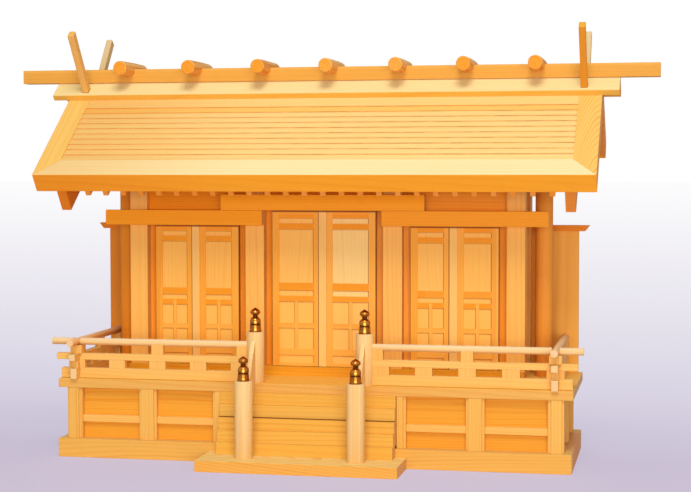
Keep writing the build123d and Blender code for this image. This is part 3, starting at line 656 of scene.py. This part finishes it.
# The ridge: cover boards over the joint of the slopes, the long ridge beam bedded on them, seven
# round logs notched over the beam, and crossed finials let into the covers at both ends. The rear
# arms of the finials are paler than the front ones, and the left pair paler than the right.
# The cover's top tone is paler than its side as painted light.
cover_tone, cover_top_lit_tone = (0.83, 0.43, 0.050, 1), (0.90, 0.77, 0.39, 1)
cover_wood, shader, place = fresh_material("cover_board")
finish(shader, *wood(on_slope(place), cover_tone, top=cover_top_lit_tone, under=cover_tone, along="x",
                     cell=(1000, 500, 300), shift=(500, 0, 100), ring=2.2, lines=0.35, wave=6))
dress(["ridge_cover_front", "ridge_cover_back"], cover_wood)

beam_tone = (0.73, 0.35, 0.054, 1)
dress(["ridge_beam"],
      cypress("ridge_beam", beam_tone, along="x", cell=(2000, 100, 100), shift=(1000, 8, 26),
              ring=2.0, lines=0.6, wave=12))

log_tone, log_end_tone = (0.84, 0.42, 0.10, 1), (0.82, 0.32, 0.022, 1)
log_pitch = 67.8
logs_low, logs_high = box_mm("ridge_logs")
log_z = (logs_low[2] + logs_high[2]) / 2
dress(["ridge_logs"],
      cypress("ridge_log", log_tone, end=log_end_tone, along="y", cell=(log_pitch, 500, 200),
              shift=(log_pitch / 2, 200, 100 - log_z), ring=2.5, lines=1.0, pith=3, heart=0.5,
              wave=3, end_mix=0.95), 0)

finial_tone, pale_finial_tone, rear_finial_tone, finial_foot_shade_tone = (
    (0.77, 0.33, 0.024, 1), (0.80, 0.46, 0.13, 1), (0.72, 0.49, 0.21, 1), (0.22, 0.07, 0.015, 1))
cover_t = 6.0
finial_wood, shader, place = fresh_material("finial")
front, relief = wood(place, finial_tone, along="z", lines=0.4, wave=4, spread=0.02)
rear = wood(place, rear_finial_tone, along="z", lines=0.4, wave=4, spread=0.02)[0]
x, y, z = place.letters()
across, down, out = on_slope(place).letters()
front = front.tinted((1 - x.ease(-1, 1)) * 0.8, pale_finial_tone)
# Painted contact shade: the arms darken towards their feet where they go into the cover.
foot_shade = 1 - out.ease(cover_t + 0.2, cover_t + 0.9)
colour = front.tinted(y.ease(ridge_y - 0.5, ridge_y + 0.5), rear).tinted(foot_shade * 0.7, finial_foot_shade_tone)
finish(shader, colour, relief)
dress(["chigi"], finial_wood, 0)


# The studio: one pale sheet that runs out behind and fades to white, and two soft lamps, one
# above and one low behind the camera. The white shows only to the camera and in reflections.

def softbox(name, place, aim, wide, high, watts):
    lamp = bpy.data.lights.new(name, "AREA")
    lamp.shape, lamp.size, lamp.size_y, lamp.energy = "RECTANGLE", wide, high, watts
    holder = bpy.data.objects.new(name, lamp)
    holder.location = place
    holder.rotation_euler = (Vector(aim) - Vector(place)).to_track_quat("-Z", "Y").to_euler()
    bpy.context.scene.collection.objects.link(holder)


def seen_by_eye_or_mirror(tree):
    """1 for rays from the camera and for reflected or refracted ones, 0 for the light on the object."""
    ray = Wire(tree.nodes.new("ShaderNodeLightPath").outputs["Is Camera Ray"])
    return ray + ray.part("Is Glossy Ray") + ray.part("Is Transmission Ray")


white = (1, 1, 1, 1)
paper_tone, haze_tone = (0.76, 0.70, 0.88, 1), (0.60, 0.55, 0.70, 1)
paper_w_m, haze_reach_m = 60, 1.6
bpy.ops.object.select_all(action="DESELECT")
bpy.ops.mesh.primitive_plane_add(size=paper_w_m, location=(0, 0, 0))
ground = bpy.context.object
ground.name = "studio_floor"
ground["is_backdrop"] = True
paper, shader, place = fresh_material("studio_paper")
feed(shader, Base_Color=paper_tone, Roughness=0.9, Specular_IOR_Level=0.1)
x, y, z = place.letters()
behind_m = y / 1000
past = behind_m.larger(0.0)
glow = past.node("Emission", {"Color": (past / (past + haze_reach_m)).tones(haze_tone, white)})
haze = (behind_m.ease(-0.5, 0.5) * 0.55 + 0.45) * seen_by_eye_or_mirror(paper.node_tree)
blend = haze.node("MixShader", {0: haze, 1: Wire(shader.outputs["BSDF"]), 2: glow})
paper_out = paper.node_tree.nodes["Material Output"]
paper.node_tree.links.new(blend.socket, paper_out.inputs["Surface"])
ground.data.materials.append(paper)

softbox("key", (0.30, -1.40, 1.75), (0, 0, 0.2), 0.7, 0.7, 21.8)
softbox("fill", (0.60, -2.65, 0.36), (0, 0, 0.15), 2.0, 0.7, 32.8)

sky_tone, sky_strength = (1.0, 0.93, 0.83, 1), 0.35
world = bpy.data.worlds.new("studio_air")
world.use_nodes = True
air = world.node_tree
seen = seen_by_eye_or_mirror(air)
sky = air.nodes["Background"]
feed(sky, Color=sky_tone, Strength=sky_strength)
clear = seen.node("Background", {"Color": white, "Strength": 1.0})
mixed = seen.node("MixShader", {0: seen, 1: Wire(sky.outputs["Background"]), 2: clear})
air.links.new(mixed.socket, air.nodes["World Output"].inputs["Surface"])
bpy.context.scene.world = world
bpy.context.scene.view_settings.view_transform = "Standard"


# The camera stands to the right of the middle, a little above the eave, and looks slightly down,
# as the photograph was taken. Places are in metres and turns in radians.
camera_place = (0.33672, -1.53322, 0.27734)
camera_yaw, camera_pitch, camera_roll = 0.20176, 0.04818, -0.00106
focal_px, image_w_px, sensor_mm = 1624.22, 691, 36.0
lens = bpy.data.cameras.new("camera")
lens.sensor_width = sensor_mm
lens.sensor_fit = "HORIZONTAL"
lens.lens = sensor_mm * focal_px / image_w_px
camera = bpy.data.objects.new("camera", lens)
turn = (Matrix.Rotation(camera_yaw, 4, "Z") @ Matrix.Rotation(math.pi / 2 - camera_pitch, 4, "X")
        @ Matrix.Rotation(camera_roll, 4, "Z"))
camera.matrix_world = Matrix.Translation(camera_place) @ turn
bpy.context.scene.collection.objects.link(camera)
bpy.context.scene.camera = camera

low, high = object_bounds()
